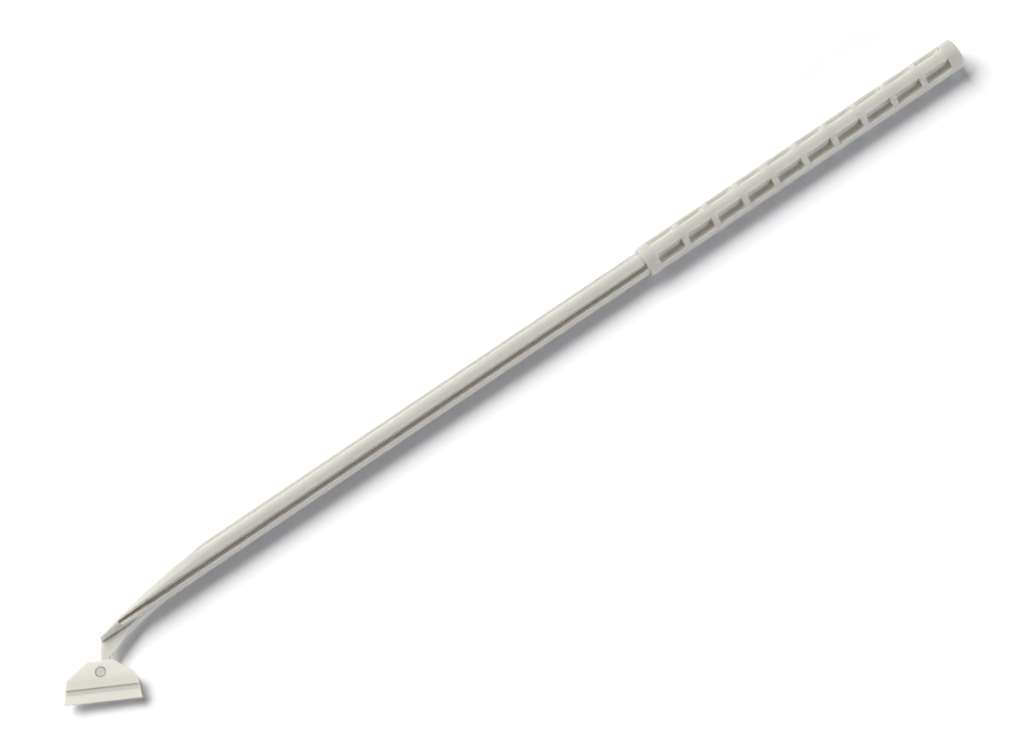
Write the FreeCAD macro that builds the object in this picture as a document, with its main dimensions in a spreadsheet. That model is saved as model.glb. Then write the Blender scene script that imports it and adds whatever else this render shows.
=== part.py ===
"""Cell scraper: a moulded shaft with a windowed grip, and a swivelling scraping head.

Millimetres and degrees. The shaft is one moulding: a round bar whose four long flutes leave a
cross of four arms, a thicker grip with ladder windows in the flutes, a sickle-shaped front end
and a thin neck with a pivot stud. The head is a second moulding that snaps over the stud.
Each body is modelled about the bar's axis, x running from the grip's end to the neck, and a
common placement then lays the whole tool down on the surface that it rests on, x along the bar.
"""

import FreeCAD
import Part
import Sketcher

import math
import os

from FreeCAD import Placement, Rotation, Vector

# Driving dimensions: alias, value, what it is.
DIMENSIONS = [
    ("grip_length", 102.6, "grip, from its end face to its front face"),
    ("grip_radius", 4.28, "outer radius of the grip"),
    ("grip_edge", 0.5, "rounding of both ends of the grip"),
    ("bar_radius_back", 3.52, "radius of the bar where it leaves the grip"),
    ("bar_radius_front", 3.56, "radius of the bar at its front end"),
    ("bar_end", 276.0, "front end of the bar, from the grip's end face"),
    ("flute_wall", 1.58, "half width of the upright arms of the cross"),
    ("flute_floor", 0.5, "height of a flute's floor beside the upright arm"),
    ("flute_rise", 39.0, "slope of a flute's floor, degrees"),
    ("near_flute_end", 269.8, "front end of the flutes on the neck's side"),
    ("far_flute_end", 243.0, "front end of the flutes on the other side"),
    ("window_count", 10.0, "windows in a row of the grip"),
    ("window_pitch", 9.68, "distance from one window to the next"),
    ("window_length", 8.0, "length of a window"),
    ("window_start", 3.95, "first window, from the grip's end face"),
    ("window_wall", 1.58, "half width of the upright arms inside the grip"),
    ("window_floor", 0.9, "height of a window's floor beside the upright arm"),
    ("window_rise", 18.2, "slope of a window's floor, degrees"),
    ("sweep_start", 222.0, "where the back of the sickle runs parallel to the bar"),
    ("sweep_radius", 228.0, "radius of the sickle's back, seen from above"),
    ("sweep_offset", 4.264, "distance of the sickle's back from the axis at its start"),
    ("sweep_round", 3.5, "radius of the sickle's back, seen along the bar"),
    ("neck_thickness", 1.6, "thickness of the neck and its eye"),
    ("neck_top", 0.15, "height of the neck's upper face above the axis"),
    ("neck_sink", 0.25, "how deep the neck's root sits in the bar's flank"),
    ("neck_start", 261.0, "where the neck's inner edge leaves the bar"),
    ("neck_blend", 20.0, "radius of the blend between bar and neck"),
    ("neck_angle", 20.3, "direction of the neck's inner edge, degrees"),
    ("heel_ahead", 0.85, "neck's heel, ahead of the bar's end"),
    ("heel_root", 2.6, "neck's outer edge where it leaves the bar, beside the axis"),
    ("heel_side", 3.95, "neck's heel, beside the axis"),
    ("throat_ahead", 2.8, "neck's narrowest place on its outer edge, ahead of the bar's end"),
    ("throat_side", 7.1, "neck's narrowest place on its outer edge, beside the axis"),
    ("waist_ahead", 0.7, "neck's narrowest place on its inner edge, ahead of the bar's end"),
    ("waist_side", 8.15, "neck's narrowest place on its inner edge, beside the axis"),
    ("pivot_ahead", 4.79, "pivot, ahead of the bar's end"),
    ("pivot_side", 10.6, "pivot, beside the axis"),
    ("eye_radius", 2.3, "radius of the eye that carries the stud"),
    ("stud_radius", 1.28, "radius of the pivot stud"),
    ("stud_recess", 0.1, "stud's end face below the head's face"),
    ("head_thickness", 3.8, "thickness of the head over its two cheeks"),
    ("head_angle", 60.75, "head's axis from the bar's direction, at rest, degrees"),
    ("head_back", 3.05, "head's back edge, behind the pivot"),
    ("back_half", 3.45, "half width of the head at its back edge"),
    ("shoulder_ahead", 1.25, "shoulder corners, ahead of the pivot"),
    ("shoulder_half", 9.05, "half width of the head at its shoulders"),
    ("edge_ahead", 7.5, "scraping edge, ahead of the pivot"),
    ("edge_half", 10.3, "half the length of the scraping edge"),
    ("corner_round", 0.7, "rounding of the head's back corners and shoulders"),
    ("slope_start", 0.9, "where the cheeks begin to slope, ahead of the pivot"),
    ("slope_bend", 1.8, "where that slope gets steeper, ahead of the pivot"),
    ("bend_half", 1.82, "half thickness of the head where the slope gets steeper"),
    ("step_ahead", 4.0, "step between cheeks and lip, ahead of the pivot"),
    ("cheek_half", 1.4, "half thickness of the head at the step"),
    ("ramp_half", 1.15, "half thickness of the head at the foot of the step"),
    ("ramp_ahead", 5.25, "where the ramp below the step runs out into the lip, ahead of the pivot"),
    ("lip_root", 0.55, "half thickness of the lip where the ramp ends"),
    ("lip_edge", 0.38, "half thickness of the lip at the scraping edge"),
    ("slot_gap", 0.1, "clearance between the eye and each cheek"),
    ("slot_round", 0.25, "clearance round the eye"),
    ("swing_half", 42.5, "half of the head's swing about the neck, degrees"),
    ("pivot_gap", 0.07, "radial clearance of the stud in its holes"),
    ("hole_bevel", 0.12, "bevel round the mouths of the stud holes"),
    ("rest_roll", 3.0, "roll of the tool as it lies, neck side down, degrees"),
    ("rest_pitch", 0.26, "pitch of the tool as it lies, head end down, degrees"),
]

MARGIN = 2.0  # how far a cutting profile reaches past the solid that it cuts
FULL_TURN = 360
SWEEP_TURN = 25  # the sickle's cut runs on past the end of the bar
TINY = 1e-4
HEAD_MIDDLE = "( neck_top - neck_thickness / 2 )"  # height of the head's middle plane

doc = FreeCAD.newDocument("cell_scraper")
sheet = doc.addObject("Spreadsheet::Sheet", "Sheet")
for row, (alias, size, meaning) in enumerate(DIMENSIONS, start=1):
    sheet.set(f"A{row}", meaning)
    sheet.set(f"B{row}", str(size))
    sheet.setAlias(f"B{row}", alias)
doc.recompute()


def named(expression):
    """The expression with every alias of the sheet written as Sheet.alias."""
    words = expression.replace("(", "( ").replace(")", " )").split()
    aliases = {alias for alias, _, _ in DIMENSIONS}
    return " ".join(f"Sheet.{word}" if word in aliases else word for word in words)


def size_of(expression):
    """The present value of an expression in the sheet's aliases."""
    return float(sheet.evalExpression(named(expression)))


def new_body(label):
    """An empty body with its own label."""
    body = doc.addObject("PartDesign::Body", label)
    body.Label = label
    return body


def new_sketch(body, name, role, offset="0"):
    """A sketch on one of the body's own origin planes, moved along the plane's normal."""
    sketch = body.newObject("Sketcher::SketchObject", name)
    plane = [item for item in body.Origin.OriginFeatures if item.Role == role][0]
    sketch.AttachmentSupport = [(plane, "")]
    sketch.MapMode = "FlatFace"
    sketch.AttachmentOffset = Placement(Vector(0, 0, size_of(offset)), Rotation())
    sketch.setExpression("AttachmentOffset.Base.z", named(offset))
    return sketch


def drive(sketch, constraint, expression):
    """Adds a constraint whose value follows the sheet."""
    index = sketch.addConstraint(constraint)
    label = f"size_{index}"
    sketch.renameConstraint(index, label)
    sketch.setExpression(f"Constraints.{label}", named(expression))


def place(sketch, geometry, position, point):
    """Holds one point of a sketch at (x, y), both given as expressions."""
    across, up = point
    drive(sketch, Sketcher.Constraint("DistanceX", geometry, position, size_of(across)), across)
    drive(sketch, Sketcher.Constraint("DistanceY", geometry, position, size_of(up)), up)


def polygon(sketch, corners):
    """A closed outline of straight edges through corners given as pairs of expressions."""
    first = sketch.GeometryCount
    count = len(corners)
    spots = [Vector(size_of(across), size_of(up), 0) for across, up in corners]
    for index in range(count):
        sketch.addGeometry(Part.LineSegment(spots[index], spots[(index + 1) % count]))
    for index, corner in enumerate(corners):
        previous = first + (index - 1) % count
        sketch.addConstraint(Sketcher.Constraint("Coincident", previous, 2, first + index, 1))
        place(sketch, first + index, 1, corner)


def blended(sketch, corners, arc_edge, centre):
    """As polygon, but edge number arc_edge is an arc about a centre, run anticlockwise."""
    first = sketch.GeometryCount
    count = len(corners)
    spots = [Vector(size_of(across), size_of(up), 0) for across, up in corners]
    middle = Vector(size_of(centre[0]), size_of(centre[1]), 0)
    spokes = [spots[arc_edge] - middle, spots[arc_edge + 1] - middle]
    angles = [math.atan2(spoke.y, spoke.x) % (2 * math.pi) for spoke in spokes]
    circle = Part.Circle(middle, Vector(0, 0, 1), spokes[0].Length)
    for index in range(count):
        if index == arc_edge:
            sketch.addGeometry(Part.ArcOfCircle(circle, *angles))
        else:
            sketch.addGeometry(Part.LineSegment(spots[index], spots[(index + 1) % count]))
    for index, corner in enumerate(corners):
        previous = first + (index - 1) % count
        sketch.addConstraint(Sketcher.Constraint("Coincident", previous, 2, first + index, 1))
        if index == arc_edge + 1:
            across = corner[0]
            distance = Sketcher.Constraint("DistanceX", first + index, 1, size_of(across))
            drive(sketch, distance, across)
        else:
            place(sketch, first + index, 1, corner)
    place(sketch, first + arc_edge, 3, centre)


def disc(sketch, centre, radius):
    """A circle whose centre and radius follow the sheet."""
    middle = Vector(size_of(centre[0]), size_of(centre[1]), 0)
    index = sketch.addGeometry(Part.Circle(middle, Vector(0, 0, 1), size_of(radius)))
    place(sketch, index, 3, centre)
    drive(sketch, Sketcher.Constraint("Radius", index, size_of(radius)), radius)


def finish(body, feature, cuts):
    """Recomputes, and makes sure that a cut took volume away and that an addition gave some."""
    before = body.Shape.Volume if body.Shape.Solids else 0.0
    body.Tip = feature
    doc.recompute()
    change = body.Shape.Volume - before
    if abs(change) < 1e-6 or (change < 0) != cuts:
        raise RuntimeError(f"{feature.Name} changed the volume by {change:.4f}")
    return feature


def extrude(body, kind, name, sketch, length):
    """A pad, or a pocket that runs the same way, along the sketch's normal."""
    feature = body.newObject(f"PartDesign::{kind}", name)
    feature.Profile = sketch
    feature.Length = size_of(length)
    feature.setExpression("Length", named(length))
    feature.Reversed = kind == "Pocket"
    return finish(body, feature, cuts=kind == "Pocket")


def edges_where(body, test):
    """The names of the body's edges that pass a test."""
    edges = enumerate(body.Shape.Edges, start=1)
    return [f"Edge{number}" for number, edge in edges if test(edge)]


def dress(body, kind, name, size, test):
    """A fillet or chamfer of a named size on the edges that pass a test."""
    solid = body.Tip
    feature = body.newObject(f"PartDesign::{kind}", name)
    feature.Base = (solid, edges_where(body, test))
    sized = "Radius" if kind == "Fillet" else "Size"
    setattr(feature, sized, size_of(size))
    feature.setExpression(sized, named(size))
    return finish(body, feature, cuts=True)


def flute_corners(side, level, wall, floor, rise):
    """One flute seen along the bar: an upright wall, and a floor that rises outwards from it.

    side and level are 1 or -1, and choose the quadrant.
    """
    reach = f"( grip_radius + {MARGIN} )"
    outer = f"{floor} + ( {reach} - {wall} ) * tan( {rise} )"
    corners = [(wall, floor), (wall, reach), (reach, reach), (reach, outer)]
    return [(f"{side} * {across}", f"{level} * ( {up} )") for across, up in corners]


def make_shaft():
    """Grip, fluted bar, sickle-shaped front end, neck, eye and stud, all one solid."""
    body = new_body("scraper_shaft")

    turned = new_sketch(body, "turned_outline", "XY_Plane")
    polygon(turned, [
        ("0", "0"),
        ("0", "grip_radius"),
        ("grip_length", "grip_radius"),
        ("grip_length", "bar_radius_back"),
        ("bar_end", "bar_radius_front"),
        ("bar_end", "0"),
    ])
    bar = body.newObject("PartDesign::Revolution", "bar")
    bar.Profile = turned
    bar.ReferenceAxis = (turned, ["H_Axis"])
    bar.Angle = FULL_TURN
    finish(body, bar, cuts=False)

    grip_radius = size_of("grip_radius")
    dress(body, "Fillet", "grip_rims", "grip_edge", lambda edge: is_circle(edge, grip_radius))

    # The sickle's back: what lies outside a round of its own, swung about a far upright axis.
    sickle = new_sketch(body, "sickle_profile", "YZ_Plane", "sweep_start")
    crown = "( sweep_round - sweep_offset )"
    outside = "( 0 - sweep_offset - 2 * grip_radius )"
    below = "( 0 - sweep_round )"
    blended(
        sickle,
        [
            (crown, "sweep_round"),
            (crown, below),
            (crown, f"{below} - {MARGIN}"),
            (outside, f"{below} - {MARGIN}"),
            (outside, f"sweep_round + {MARGIN}"),
            (crown, f"sweep_round + {MARGIN}"),
        ],
        arc_edge=0,
        centre=(crown, "0"),
    )
    far_axis = "sweep_radius - sweep_offset"
    foot = Vector(size_of(far_axis), 0, 0)
    axis_line = sickle.addGeometry(Part.LineSegment(foot, foot + Vector(0, MARGIN, 0)), True)
    place(sickle, axis_line, 1, (far_axis, "0"))
    place(sickle, axis_line, 2, (far_axis, f"{MARGIN}"))
    sweep = body.newObject("PartDesign::Groove", "sickle_back")
    sweep.Profile = sickle
    sweep.ReferenceAxis = (sickle, ["Axis0"])
    sweep.Angle = SWEEP_TURN
    finish(body, sweep, cuts=True)

    for name, side, end in (("near", 1, "near_flute_end"), ("far", -1, "far_flute_end")):
        flutes = new_sketch(body, f"{name}_flute_profiles", "YZ_Plane", "grip_length")
        for level in (1, -1):
            polygon(flutes, flute_corners(side, level, "flute_wall", "flute_floor", "flute_rise"))
        extrude(body, "Pocket", f"{name}_flutes", flutes, f"{end} - grip_length")

    windows = new_sketch(body, "window_profiles", "YZ_Plane", "window_start")
    for side in (1, -1):
        for level in (1, -1):
            polygon(
                windows, flute_corners(side, level, "window_wall", "window_floor", "window_rise")
            )
    first_ring = extrude(body, "Pocket", "first_windows", windows, "window_length")
    ladder = body.newObject("PartDesign::LinearPattern", "window_ladder")
    ladder.Originals = [first_ring]
    ladder.Direction = (windows, ["N_Axis"])
    ladder.Length = size_of("window_pitch * ( window_count - 1 )")
    ladder.setExpression("Length", named("window_pitch * ( window_count - 1 )"))
    ladder.Occurrences = int(size_of("window_count"))
    ladder.setExpression("Occurrences", named("window_count"))
    finish(body, ladder, cuts=True)

    neck_foot = "neck_top - neck_thickness"
    pivot_x = "( bar_end + pivot_ahead )"
    inner_start = "( bar_radius_front - neck_sink )"
    neck = new_sketch(body, "neck_outline", "XY_Plane", neck_foot)
    blended(
        neck,
        [
            ("neck_start", inner_start),
            (
                "neck_start + neck_blend * sin( neck_angle )",
                f"{inner_start} + neck_blend * ( 1 - cos( neck_angle ) )",
            ),
            ("bar_end + waist_ahead", "waist_side"),
            (f"{pivot_x} - eye_radius * 0.5", "pivot_side + eye_radius * 0.5"),
            (f"{pivot_x} + eye_radius * 0.5", "pivot_side - eye_radius * 0.5"),
            ("bar_end + throat_ahead", "throat_side"),
            ("bar_end + heel_ahead", "heel_side"),
            ("bar_end", "heel_root"),
            ("neck_start", "heel_root"),
        ],
        arc_edge=0,
        centre=("neck_start", f"{inner_start} + neck_blend"),
    )
    extrude(body, "Pad", "neck", neck, "neck_thickness")

    eye = new_sketch(body, "eye_outline", "XY_Plane", neck_foot)
    disc(eye, (pivot_x, "pivot_side"), "eye_radius")
    extrude(body, "Pad", "eye", eye, "neck_thickness")

    stud_length = "( head_thickness - 2 * stud_recess )"
    stud = new_sketch(body, "stud_outline", "XY_Plane", f"{HEAD_MIDDLE} - {stud_length} / 2")
    disc(stud, (pivot_x, "pivot_side"), "stud_radius")
    extrude(body, "Pad", "stud", stud, stud_length)
    return body


def is_circle(edge, radius):
    """Whether an edge is a circle of this radius."""
    return isinstance(edge.Curve, Part.Circle) and abs(edge.Curve.Radius - radius) < TINY


def is_upright(edge):
    """Whether an edge runs along z."""
    ends = [vertex.Point for vertex in edge.Vertexes]
    return len(ends) == 2 and (ends[1] - ends[0]).cross(Vector(0, 0, 1)).Length < TINY


def make_head():
    """The head about its pivot: x towards the scraping edge, y along it, z through the cheeks."""
    body = new_body("scraper_head")

    outline = new_sketch(body, "head_outline", "XY_Plane", "0 - head_thickness / 2")
    half_outline = [
        ("0 - head_back", "back_half"),
        ("shoulder_ahead", "shoulder_half"),
        ("edge_ahead", "edge_half"),
    ]
    other_half = [(across, f"0 - {up}") for across, up in reversed(half_outline)]
    polygon(outline, half_outline + other_half)
    extrude(body, "Pad", "head_block", outline, "head_thickness")

    edge_ahead = size_of("edge_ahead")
    dress(
        body,
        "Fillet",
        "head_corners",
        "corner_round",
        lambda edge: is_upright(edge) and edge.CenterOfMass.x < edge_ahead - TINY,
    )

    # Cheeks, step, ramp and lip, seen along the scraping edge, cut alike from both faces.
    section = new_sketch(body, "lip_section", "XZ_Plane", f"0 - edge_half - {MARGIN}")
    clear = f"( head_thickness / 2 + {MARGIN} )"
    beyond = f"( edge_ahead + {MARGIN} )"
    upper = [
        ("slope_start", "head_thickness / 2"),
        ("slope_bend", "bend_half"),
        ("step_ahead", "cheek_half"),
        ("step_ahead", "ramp_half"),
        ("ramp_ahead", "lip_root"),
        ("edge_ahead", "lip_edge"),
        (beyond, "lip_edge"),
        (beyond, clear),
        ("slope_start", clear),
    ]
    for level in (1, -1):
        polygon(section, [(across, f"{level} * ( {up} )") for across, up in upper])
    extrude(body, "Pocket", "lip_cut", section, f"2 * ( edge_half + {MARGIN} )")

    slot = new_sketch(body, "slot_outline", "XY_Plane", "0 - neck_thickness / 2 - slot_gap")
    around = "( eye_radius + slot_round )"
    tangent = f"{around} * sin( swing_half )", f"{around} * cos( swing_half )"
    away = "( 2 * shoulder_half )"
    mouth = f"{tangent[0]} - {away} * cos( swing_half )", f"{tangent[1]} + {away} * sin( swing_half )"
    polygon(slot, [
        tangent,
        mouth,
        (mouth[0], f"0 - ( {mouth[1]} )"),
        (tangent[0], f"0 - ( {tangent[1]} )"),
    ])
    slot_height = "neck_thickness + 2 * slot_gap"
    extrude(body, "Pocket", "neck_slot", slot, slot_height)
    seat = new_sketch(body, "seat_outline", "XY_Plane", "0 - neck_thickness / 2 - slot_gap")
    disc(seat, ("0", "0"), around)
    extrude(body, "Pocket", "eye_seat", seat, slot_height)

    bore = new_sketch(body, "bore_outline", "XY_Plane", "0 - head_thickness / 2")
    disc(bore, ("0", "0"), "stud_radius + pivot_gap")
    extrude(body, "Pocket", "stud_holes", bore, "head_thickness")
    face = size_of("head_thickness / 2")
    bore_radius = size_of("stud_radius + pivot_gap")
    dress(
        body,
        "Chamfer",
        "hole_bevels",
        "hole_bevel",
        lambda edge: is_circle(edge, bore_radius) and abs(abs(edge.CenterOfMass.z) - face) < TINY,
    )
    return body


def check_document():
    """Stops if any object failed, or if a moulding isn't one valid solid."""
    for item in doc.Objects:
        if "Invalid" in item.State or "Error" in item.State:
            raise RuntimeError(f"{item.Name} failed: {item.State}")
    for body in doc.findObjects("PartDesign::Body"):
        if body.Shape.isNull() or not body.Shape.isValid() or len(body.Shape.Solids) != 1:
            raise RuntimeError(f"{body.Label} isn't one valid solid")


def lay_down(shaft, head):
    """Gives both bodies their places: head on the stud, tool as it lies, base centre at the origin."""
    pivot = Vector(size_of("bar_end + pivot_ahead"), size_of("pivot_side"), size_of(HEAD_MIDDLE))
    swing = Rotation(Vector(0, 0, 1), size_of("head_angle"))
    on_stud = Placement(pivot, swing)
    rolled = Rotation(Vector(1, 0, 0), -size_of("rest_roll"))
    pitched = Rotation(Vector(0, 1, 0), size_of("rest_pitch"))
    lying = Placement(Vector(), pitched.multiply(rolled))
    shapes = [shaft.Shape.copy(), head.Shape.copy()]
    for shape, placement in zip(shapes, (lying, lying.multiply(on_stud))):
        shape.Placement = placement
    box = Part.makeCompound(shapes).optimalBoundingBox(False)
    base = Vector(-box.Center.x, -box.Center.y, -box.ZMin)
    lying = Placement(base, lying.Rotation)
    shaft.Placement = lying
    head.Placement = lying.multiply(on_stud)
    doc.recompute()
    return lying, pivot


def main():
    """Builds both mouldings, checks them, lays them down and writes their files."""
    shaft = make_shaft()
    head = make_head()
    lying, pivot = lay_down(shaft, head)
    check_document()
    os.makedirs("parts", exist_ok=True)
    for body in (shaft, head):
        body.Shape.exportStep(f"parts/{body.Label}.step")
        box = body.Shape.BoundBox
        print(body.Label, "volume", round(body.Shape.Volume, 1), "box", box)
    places = {
        "pivot": lying.multVec(pivot),
        "pivot_axis": lying.Rotation.multVec(Vector(0, 0, 1)),
        "grip_end": lying.multVec(Vector(0, 0, 0)),
        "grip_end_normal": lying.Rotation.multVec(Vector(-1, 0, 0)),
    }
    for name, spot in places.items():
        print(name, [round(number, 5) for number in spot])


main()
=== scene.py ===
"""Cell scraper on a white studio surface: finishes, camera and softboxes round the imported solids.

Lengths are metres in the part's own frame: x along the bar from the grip's end to the head, y to
the side that the head is on, z up from the surface that the tool lies on. Marks, and the camera's
stand and aim, are given along, beside and above the bar's axis in millimetres. Colours are linear.
"""

import logging
import math
from abc import ABC, abstractmethod
from collections.abc import Mapping
from dataclasses import dataclass
from enum import Enum

import bpy
import numpy as np
from mathutils import Matrix, Vector


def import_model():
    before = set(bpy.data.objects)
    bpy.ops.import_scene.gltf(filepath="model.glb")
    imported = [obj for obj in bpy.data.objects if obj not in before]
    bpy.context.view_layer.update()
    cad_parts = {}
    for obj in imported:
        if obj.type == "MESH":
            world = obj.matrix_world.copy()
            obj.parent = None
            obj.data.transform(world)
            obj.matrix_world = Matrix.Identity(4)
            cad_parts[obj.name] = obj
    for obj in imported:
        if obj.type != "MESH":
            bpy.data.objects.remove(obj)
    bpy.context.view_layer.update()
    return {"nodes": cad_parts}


log = logging.getLogger("cell_scraper")

Colour = tuple[float, float, float]
Point = tuple[float, float, float]
Settings = Mapping[str, object]
Sockets = Mapping[str | int, object]
Operand = "Signal | float"

MM_PER_M = 1000.0
PIVOT = (280.785, 10.6)  # the stud's axis, along and beside the bar
HEAD_ANGLE = math.radians(60.75)  # from the bar's direction to the head's


class Signal:
    """One output socket that Python operators turn into Math nodes."""

    def __init__(self, graph: "ShaderGraph", socket: bpy.types.NodeSocket) -> None:
        """Keeps the socket and the graph that new Math nodes go into."""
        self.graph = graph
        self.socket = socket

    def _math(self, operation: str, *operands: Operand) -> "Signal":
        """A Math node of this operation on the operands."""
        settings = {"operation": operation}
        return self.graph.node("ShaderNodeMath", settings, dict(enumerate(operands)))

    def __add__(self, other: Operand) -> "Signal":
        """self + other."""
        return self._math("ADD", self, other)

    def __radd__(self, other: float) -> "Signal":
        """other + self."""
        return self._math("ADD", other, self)

    def __sub__(self, other: Operand) -> "Signal":
        """self - other."""
        return self._math("SUBTRACT", self, other)

    def __rsub__(self, other: float) -> "Signal":
        """other - self."""
        return self._math("SUBTRACT", other, self)

    def __mul__(self, other: Operand) -> "Signal":
        """self * other."""
        return self._math("MULTIPLY", self, other)

    def __rmul__(self, other: float) -> "Signal":
        """other * self."""
        return self._math("MULTIPLY", other, self)

    def root(self) -> "Signal":
        """The square root."""
        return self._math("SQRT", self)

    def clamp(self) -> "Signal":
        """The value held between 0 and 1."""
        return self.graph.node("ShaderNodeClamp", {}, {"Value": self})

    def output(self, name: str) -> "Signal":
        """Another output of the same node."""
        return Signal(self.graph, self.socket.node.outputs[name])


@dataclass(frozen=True)
class Bench:
    """How the straight tool is turned as it lies, from the bar's own axes to the part's frame.

    Roll is about the bar and pitch lowers the head's end; grip_end is where the bar's axis starts.
    """

    roll: float = math.radians(3.0)
    pitch: float = math.radians(0.26)
    grip_end: Point = (-0.146709, -0.008926, 0.004743)

    @property
    def turn(self) -> Matrix:
        """Rotation by -roll about x, then by pitch about y."""
        return Matrix.Rotation(self.pitch, 3, "Y") @ Matrix.Rotation(-self.roll, 3, "X")

    @property
    def euler(self) -> Point:
        """The same rotation as XYZ angles."""
        return tuple(self.turn.to_euler("XYZ"))

    def point(self, along: float, aside: float, above: float) -> Vector:
        """A point given beside the bar's axis in millimetres, in the part's frame in metres."""
        return Vector(self.grip_end) + self.turn @ Vector((along, aside, above)) / MM_PER_M


@dataclass(frozen=True)
class Fractal:
    """Size and character of a fractal noise."""

    scale: float
    detail: float
    roughness: float


@dataclass(frozen=True)
class Relief:
    """A fractal noise raised from the surface."""

    fractal: Fractal
    strength: float
    depth: float


class ShaderGraph:
    """The node tree of one material or world, emptied and built up by name."""

    MIX_COLOURS = (6, 7)  # the Mix node's two colour inputs
    MIX_RESULT = 2  # its mixed colour
    NOISE_MIDDLE = 0.5
    SHELTER_SAMPLES = 6

    def __init__(self, owner: bpy.types.Material | bpy.types.World) -> None:
        """Clears the owner's tree.

        Args:
            owner: The material or world that the tree belongs to.
        """
        self.owner = owner
        self.owner.use_nodes = True
        self.tree = self.owner.node_tree
        self.tree.nodes.clear()

    def node(self, kind: str, settings: Settings, sockets: Sockets) -> Signal:
        """Adds one node and gives back its first output."""
        return Signal(self, self._make(kind, settings, sockets).outputs[0])

    def _make(self, kind: str, settings: Settings, sockets: Sockets) -> bpy.types.Node:
        """Adds one node, as every node here is added.

        Args:
            kind: The node's type name.
            settings: Properties of the node itself, set first.
            sockets: Input names or numbers, each with a value or a Signal.

        Returns:
            The node itself.
        """
        made = self.tree.nodes.new(kind)
        for name, value in settings.items():
            setattr(made, name, value)
        for name, value in sockets.items():
            if isinstance(value, Signal):
                self.tree.links.new(value.socket, made.inputs[name])
            else:
                made.inputs[name].default_value = value
        return made

    def place(self, bench: Bench, factors: Point) -> Signal:
        """Object coordinates brought to the bar's own axes.

        Args:
            bench: How the tool lies.
            factors: What the three numbers are then multiplied by.

        Returns:
            A position along, beside and above the bar.
        """
        coordinates = self.node("ShaderNodeTexCoord", {}, {}).output("Object")
        return self.node(
            "ShaderNodeMapping",
            {"vector_type": "TEXTURE"},
            {
                "Vector": coordinates,
                "Location": bench.grip_end,
                "Rotation": bench.euler,
                "Scale": tuple(1.0 / factor for factor in factors),
            },
        )

    def along_and_aside(self, where: Signal) -> tuple[Signal, Signal]:
        """The first two numbers of a position."""
        split = self.node("ShaderNodeSeparateXYZ", {}, {"Vector": where})
        return split, split.output("Y")

    def noise(self, where: Signal, fractal: Fractal) -> Signal:
        """Fractal noise.

        Args:
            where: The position to read it at.
            fractal: Its size and character.

        Returns:
            Values from 0 to 1 round NOISE_MIDDLE.
        """
        return self.node(
            "ShaderNodeTexNoise",
            {},
            {
                "Vector": where,
                "Scale": fractal.scale,
                "Detail": fractal.detail,
                "Roughness": fractal.roughness,
            },
        )

    def openness(self, reach: float) -> Signal:
        """How open the piece lies to the light.

        Args:
            reach: How far off, in metres, its own walls still count.

        Returns:
            The share of light that these walls let in, 1 on open faces.
        """
        settings = {"samples": self.SHELTER_SAMPLES, "only_local": True}
        made = self.node("ShaderNodeAmbientOcclusion", settings, {"Distance": reach})
        return made.output("AO")

    def blend(self, factor: Operand, first: object, second: object) -> Signal:
        """A colour between two.

        Args:
            factor: The share of the second colour.
            first: A plain colour or a Signal.
            second: A plain colour or a Signal.

        Returns:
            The mixed colour.
        """
        sockets: dict[str | int, object] = {"Factor": factor}
        for index, value in zip(self.MIX_COLOURS, (first, second)):
            sockets[index] = value if isinstance(value, Signal) else (*value, 1.0)
        made = self._make("ShaderNodeMix", {"data_type": "RGBA"}, sockets)
        return Signal(self, made.outputs[self.MIX_RESULT])

    def bump(self, where: Signal, relief: Relief, under: Signal | None = None) -> Signal:
        """The normal of a relief.

        Args:
            where: The position that its noise is read at.
            relief: The noise, and how far it stands up.
            under: A normal that it lies on top of, if there is one.

        Returns:
            The bumped normal.
        """
        sockets: dict[str | int, object] = {
            "Strength": relief.strength,
            "Distance": relief.depth,
            "Height": self.noise(where, relief.fractal),
        }
        if under is not None:
            sockets["Normal"] = under
        return self.node("ShaderNodeBump", {}, sockets)

    def finish(self, surface: Signal) -> bpy.types.Material | bpy.types.World:
        """Links the surface to the owner's output.

        Args:
            surface: A shader, or a world's background.

        Returns:
            The owner of the tree.
        """
        kind = "World" if isinstance(self.owner, bpy.types.World) else "Material"
        self._make(f"ShaderNodeOutput{kind}", {}, {"Surface": surface})
        return self.owner


@dataclass(frozen=True)
class Mark(ABC):
    """A local tint of a moulding: painted shade, or a tone of its own."""

    colour: Colour
    strength: float

    @abstractmethod
    def share(self, graph: ShaderGraph, where: Signal) -> Signal:
        """How much of the tint shows.

        Args:
            graph: The material's tree.
            where: The position along, beside and above the bar in millimetres.

        Returns:
            From 0 up to the strength.
        """

    @staticmethod
    def hump(off: Signal, half_width: float) -> Signal:
        """1 where off is 0, falling to 0 half a width away."""
        return (1.0 - off * off * half_width**-2).clamp()


@dataclass(frozen=True)
class RingMark(Mark):
    """A soft ring about an upright axis, or a disc when its radius is 0."""

    centre: tuple[float, float]
    radius: float
    half_width: float

    def share(self, graph: ShaderGraph, where: Signal) -> Signal:
        """Full on the ring's radius and gone half a width away.

        Args:
            graph: The material's tree.
            where: The position along, beside and above the bar in millimetres.

        Returns:
            From 0 up to the strength.
        """
        along, aside = graph.along_and_aside(where)
        ahead = along - self.centre[0]
        beside = aside - self.centre[1]
        off = (ahead * ahead + beside * beside).root() - self.radius
        return self.hump(off, self.half_width) * self.strength


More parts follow.
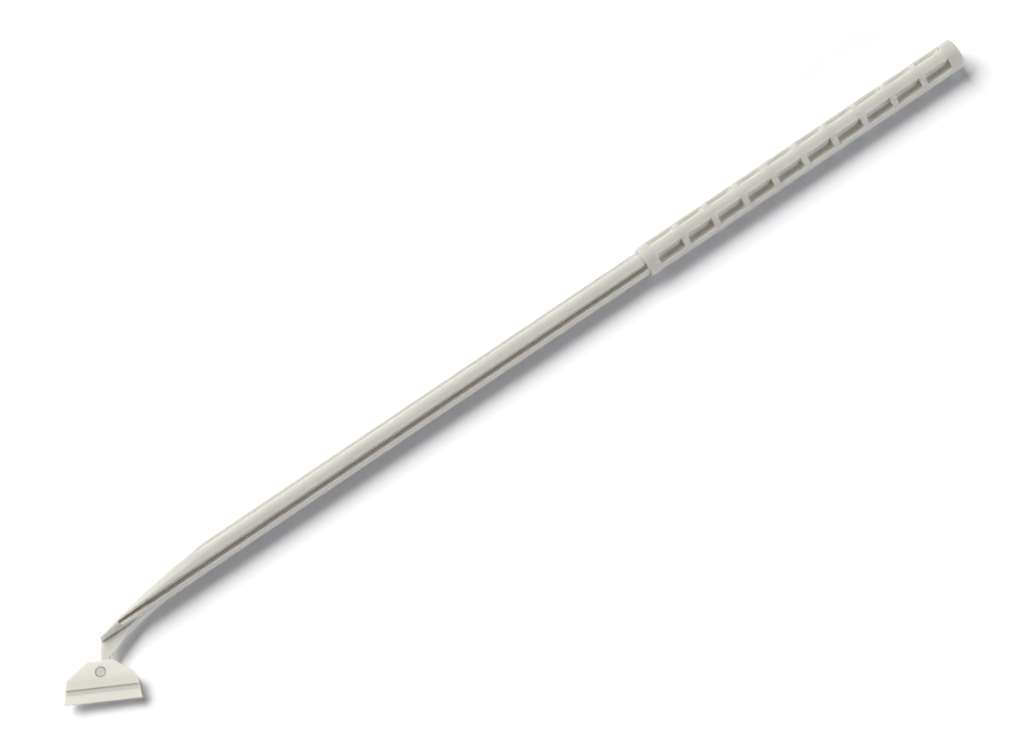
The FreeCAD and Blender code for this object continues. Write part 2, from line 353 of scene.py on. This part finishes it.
@dataclass(frozen=True)
class StripeShadeMark(Mark):
    """A soft straight stripe of painted shade across the line from a centre at an angle to the bar.
    """

    centre: tuple[float, float]
    angle: float
    ahead: float
    half_width: float

    def share(self, graph: ShaderGraph, where: Signal) -> Signal:
        """Full on the stripe's middle and gone half a width away.

        Args:
            graph: The material's tree.
            where: The position along, beside and above the bar in millimetres.

        Returns:
            From 0 up to the strength.
        """
        along, aside = graph.along_and_aside(where)
        cosine, sine = math.cos(self.angle), math.sin(self.angle)
        reach = (along - self.centre[0]) * cosine + (aside - self.centre[1]) * sine
        return self.hump(reach - self.ahead, self.half_width) * self.strength


@dataclass(frozen=True)
class GrooveShadeMark(Mark):
    """A soft stripe of painted shade along the bar, from one place on it to another."""

    aside: float
    half_width: float
    start: float
    end: float

    def share(self, graph: ShaderGraph, where: Signal) -> Signal:
        """Full on the stripe's middle, and gone half a width away and past its ends.

        Args:
            graph: The material's tree.
            where: The position along, beside and above the bar in millimetres.

        Returns:
            From 0 up to the strength.
        """
        along, aside = graph.along_and_aside(where)
        across = self.hump(aside - self.aside, self.half_width)
        return across * (along - self.start).clamp() * (self.end - along).clamp() * self.strength


@dataclass(frozen=True)
class CreaseShadeMark(Mark):
    """Painted shade in inner corners and narrow slots, coming in over a run of the bar."""

    start: float
    run: float
    reach: float
    open_enough: float = 0.82
    gain: float = 3.5

    def share(self, graph: ShaderGraph, where: Signal) -> Signal:
        """Full where near walls shut out about half of the light, gone where it is open enough.

        Args:
            graph: The material's tree.
            where: The position along, beside and above the bar in millimetres.

        Returns:
            From 0 up to the strength.
        """
        along, _ = graph.along_and_aside(where)
        near = ((along - self.start) * (1.0 / self.run)).clamp()
        shut = self.open_enough - graph.openness(self.reach / MM_PER_M)
        return near * (shut * self.gain).clamp() * self.strength


@dataclass(frozen=True)
class MouldedPlastic:
    """Satin moulded plastic with cloudy colour, fine moulded grain and drawn-out flow marks."""

    name: str
    colour: Colour
    cloud: Colour
    marks: tuple[Mark, ...] = ()
    clouds: Fractal = Fractal(260.0, 3.0, 0.55)
    cloud_share: float = 0.5
    cloud_swing: float = 1.6
    specks: Fractal = Fractal(1500.0, 2.0, 0.6)
    speck_swing: float = 0.5
    # painted light: a lighter, warmer colour laid into the recesses
    recess_painted_light: Colour = (0.86, 0.82, 0.775)
    recess_light_reach: float = 0.0025
    recess_light_openness: float = 0.65
    recess_light_gain: float = 2.5
    roughness: float = 0.42
    roughness_swing: float = 0.10
    drawn_out: Point = (0.25, 1.0, 1.0)
    flow: Relief = Relief(Fractal(420.0, 2.0, 0.5), strength=0.35, depth=0.00003)
    grain: Relief = Relief(Fractal(2600.0, 2.0, 0.5), strength=0.5, depth=0.000012)
    ior: float = 1.46
    specular: float = 0.3
    scatter: float = 1.0
    scatter_radius: Colour = (1.0, 0.97, 0.94)
    scatter_depth: float = 0.0028

    def recess_light_share(self, graph: ShaderGraph) -> Signal:
        """0 on open faces and 1 in the recesses, where warm light through the plastic is painted
        into the colour.
        """
        shut = self.recess_light_openness - graph.openness(self.recess_light_reach)
        return (shut * self.recess_light_gain).clamp()

    def painted_light_and_marks(self, graph: ShaderGraph, outside: Signal, bench: Bench) -> Signal:
        """Paints warm light into the recesses and lays the marks over them, most of them painted
        shade.

        Args:
            graph: The material's tree.
            outside: The colour of the open faces.
            bench: How the tool lies, for marks that are placed along the bar.

        Returns:
            The colour of the whole moulding.
        """
        colour = graph.blend(self.recess_light_share(graph), outside, self.recess_painted_light)
        where = graph.place(bench, (MM_PER_M, MM_PER_M, MM_PER_M))
        for mark in self.marks:
            colour = graph.blend(mark.share(graph, where), colour, mark.colour)
        return colour

    def build(self, bench: Bench) -> bpy.types.Material:
        """Builds the material: clouds, painted light in the recesses and the marks in the colour,
        grain and flow marks in the bump.

        Args:
            bench: How the tool lies, for patterns that follow the bar.

        Returns:
            The material.
        """
        graph = ShaderGraph(bpy.data.materials.new(self.name))
        even = graph.place(bench, (1.0, 1.0, 1.0))
        drawn = graph.place(bench, self.drawn_out)
        clouds = graph.noise(drawn, self.clouds) - graph.NOISE_MIDDLE
        specks = graph.noise(even, self.specks) - graph.NOISE_MIDDLE
        share = clouds * self.cloud_swing + specks * self.speck_swing + self.cloud_share
        outside = graph.blend(share.clamp(), self.colour, self.cloud)
        rough = specks * self.roughness_swing + self.roughness
        sockets = {
            "Base Color": self.painted_light_and_marks(graph, outside, bench),
            "Roughness": rough.clamp(),
            "Normal": graph.bump(even, self.grain, under=graph.bump(drawn, self.flow)),
            "IOR": self.ior,
            "Specular IOR Level": self.specular,
            "Subsurface Weight": self.scatter,
            "Subsurface Radius": self.scatter_radius,
            "Subsurface Scale": self.scatter_depth,
        }
        return graph.finish(graph.node("ShaderNodeBsdfPrincipled", {}, sockets))


SHAFT_SHADE_AND_TONES = (
    # painted shade on the floor of the flute on the head's side
    GrooveShadeMark((0.38, 0.35, 0.32), 0.5, aside=2.7, half_width=0.6, start=103.0, end=262.0),
    # stud: whole end face and gate mark in its middle, and painted shade of the gap at its rim
    RingMark((0.82, 0.74, 0.64), 1.0, PIVOT, radius=0.0, half_width=4.0),
    RingMark((0.55, 0.44, 0.36), 0.7, PIVOT, radius=0.36, half_width=0.16),
    RingMark((0.50, 0.38, 0.30), 0.6, PIVOT, radius=1.34, half_width=0.16),
    # painted shade in the corner between the front end and the neck
    CreaseShadeMark((0.25, 0.19, 0.15), 0.8, start=256.0, run=18.0, reach=0.6),
)
HEAD_PAINTED_SHADE = (
    # painted shade on the bevel of the stud's hole
    RingMark((0.60, 0.46, 0.37), 0.6, PIVOT, radius=1.38, half_width=0.20),
    # painted shade along the step above the lip
    StripeShadeMark((0.50, 0.42, 0.35), 0.42, PIVOT, HEAD_ANGLE, ahead=4.12, half_width=0.32),
)


class Finish(Enum):
    """The finishes of the two mouldings, by the record's slot names."""

    shaft_plastic = MouldedPlastic(
        "shaft_plastic",
        colour=(0.58, 0.565, 0.515),
        cloud=(0.64, 0.63, 0.585),
        marks=SHAFT_SHADE_AND_TONES,
    )
    head_plastic = MouldedPlastic(
        "head_plastic",
        colour=(0.765, 0.75, 0.675),
        cloud=(0.815, 0.795, 0.73),
        marks=HEAD_PAINTED_SHADE,
        scatter_depth=0.001,
    )


@dataclass(frozen=True)
class Moulding:
    """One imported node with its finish."""

    node: str
    finish: Finish

    def dress(self, nodes: Mapping[str, bpy.types.Object], bench: Bench) -> None:
        """Gives the node its finish.

        Args:
            nodes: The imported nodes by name.
            bench: How the tool lies, for patterns that follow the bar.
        """
        piece = nodes[self.node]
        piece.data.materials.clear()
        piece.data.materials.append(self.finish.value.build(bench))
        log.info("dressed %s with %s", self.node, self.finish.name)


@dataclass(frozen=True)
class Camera:
    """A long lens above the tool; lens and sensor are millimetres too, the clips metres."""

    stand: Point = (287.0, 397.5, 989.4)
    aim: Point = (148.289, 5.243, 0.0)
    roll: float = -0.643785
    lens: float = 143.55
    sensor: float = 36.0
    clip_start: float = 0.05
    clip_end: float = 50.0

    def build(self, bench: Bench) -> None:
        """Adds the camera.

        The view runs from stand to aim. Its sideways vector is forward x (-y), its upward one
        sideways x forward, and both are then turned by roll about the view.

        Args:
            bench: How the tool lies, because stand and aim are given beside its bar.
        """
        forward = (Vector(self.aim) - Vector(self.stand)).normalized()
        across = forward.cross(Vector((0.0, -1.0, 0.0))).normalized()
        above = across.cross(forward)
        cosine, sine = math.cos(self.roll), math.sin(self.roll)
        right = bench.turn @ (cosine * across + sine * above)
        up = bench.turn @ (cosine * above - sine * across)
        back = bench.turn @ -forward
        data = bpy.data.cameras.new("camera")
        data.lens = self.lens
        data.sensor_width = self.sensor
        data.clip_start = self.clip_start
        data.clip_end = self.clip_end
        camera = bpy.data.objects.new("camera", data)
        turn = Matrix((right, up, back)).transposed().to_4x4()
        camera.matrix_world = Matrix.Translation(bench.point(*self.stand)) @ turn
        bpy.context.scene.collection.objects.link(camera)
        bpy.context.scene.camera = camera
        log.info("camera stands at %s", tuple(round(c, 3) for c in camera.location))


@dataclass(frozen=True)
class Softbox:
    """An oblong diffused lamp aimed at the tool."""

    name: str
    towards: Point
    distance: float
    width: float
    height: float
    level: float
    colour: Colour = (1.0, 1.0, 1.0)

    def build(self) -> None:
        """Adds the lamp.

        A white card that faces it at the tool shows level: power = level * (pi * distance)^2.
        """
        data = bpy.data.lights.new(self.name, "AREA")
        data.shape = "RECTANGLE"
        data.size = self.width
        data.size_y = self.height
        data.energy = self.level * (math.pi * self.distance) ** 2
        data.color = self.colour
        lamp = bpy.data.objects.new(self.name, data)
        ray = Vector(self.towards).normalized()
        lamp.location = ray * self.distance
        lamp.rotation_mode = "QUATERNION"
        lamp.rotation_quaternion = ray.to_track_quat("Z", "Y")
        bpy.context.scene.collection.objects.link(lamp)
        log.info("softbox %s at %s", self.name, tuple(round(c, 2) for c in lamp.location))


LAMPS = (
    Softbox("key", (0.26, -0.61, 0.75), distance=4.0, width=3.6, height=3.0, level=1.39),
    Softbox(
        "fill",
        (-0.41, 0.87, 0.25),
        distance=4.0,
        width=2.0,
        height=0.6,
        level=0.47,
        colour=(0.955, 0.98, 1.07),
    ),
)


@dataclass(frozen=True)
class Studio:
    """White surface, faint surround and the softboxes."""

    half: float = 4.0  # from the surface's middle to its edges
    surface: float = 0.9  # its grey for the light that falls on it
    seen: float = 1.11  # its grey for camera, gloss and glass rays
    surround: float = 0.03
    grip_drop: float = 0.00431  # from the bar's axis at the grip's end down to the surface
    lamps: tuple[Softbox, ...] = LAMPS

    @staticmethod
    def seen_directly(graph: ShaderGraph) -> Signal:
        """Whether a ray shows what it meets to the camera, rather than lighting something.

        Args:
            graph: The tree of a material or world.

        Returns:
            1 for rays from the camera, or from it by way of gloss or glass, and otherwise 0.
        """
        camera = graph.node("ShaderNodeLightPath", {}, {})
        gloss = camera.output("Is Glossy Ray")
        glass = camera.output("Is Transmission Ray")
        return (camera + gloss + glass).clamp()

    def floor(self, bench: Bench) -> None:
        """Adds a plane under the grip, parallel to the bar: height = start height - slope * x.

        Args:
            bench: How the tool lies.
        """
        corners = np.array([[-1, -1], [1, -1], [1, 1], [-1, 1]]) * self.half
        start = Vector(bench.grip_end)
        height = start.z - self.grip_drop
        fall = math.tan(bench.pitch) * (corners[:, 0] - start.x)
        points = np.column_stack((corners, height - fall))
        mesh = bpy.data.meshes.new("floor")
        mesh.from_pydata(points.tolist(), [], [(0, 1, 2, 3)])
        plane = bpy.data.objects.new("floor", mesh)
        bpy.context.scene.collection.objects.link(plane)
        graph = ShaderGraph(bpy.data.materials.new("white_surface"))
        shades = [(shade, shade, shade) for shade in (self.surface, self.seen)]
        white = graph.blend(self.seen_directly(graph), *shades)
        sheet = graph.node("ShaderNodeBsdfDiffuse", {}, {"Color": white})
        mesh.materials.append(graph.finish(sheet))

    def sky(self) -> None:
        """Faint even light from all round, which the camera and reflections see as white."""
        graph = ShaderGraph(bpy.data.worlds.new("surround"))
        strength = self.seen_directly(graph) * (1.0 - self.surround) + self.surround
        light = graph.node("ShaderNodeBackground", {}, {"Strength": strength})
        bpy.context.scene.world = graph.finish(light)

    def build(self, bench: Bench) -> None:
        """Adds the surface, the surround and the softboxes.

        Args:
            bench: How the tool lies on the surface.
        """
        self.floor(bench)
        self.sky()
        for lamp in self.lamps:
            lamp.build()


def main() -> None:
    """Loads the frame, dresses it and lights it."""
    logging.basicConfig(level=logging.INFO, format="%(name)s: %(message)s")
    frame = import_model()
    bench = Bench()
    for moulding in (
        Moulding("scraper_shaft", Finish.shaft_plastic),
        Moulding("scraper_head", Finish.head_plastic),
    ):
        moulding.dress(frame["nodes"], bench)
    Studio().build(bench)
    Camera().build(bench)
    bpy.context.scene.view_settings.view_transform = "Standard"


if __name__ == "__main__":
    main()
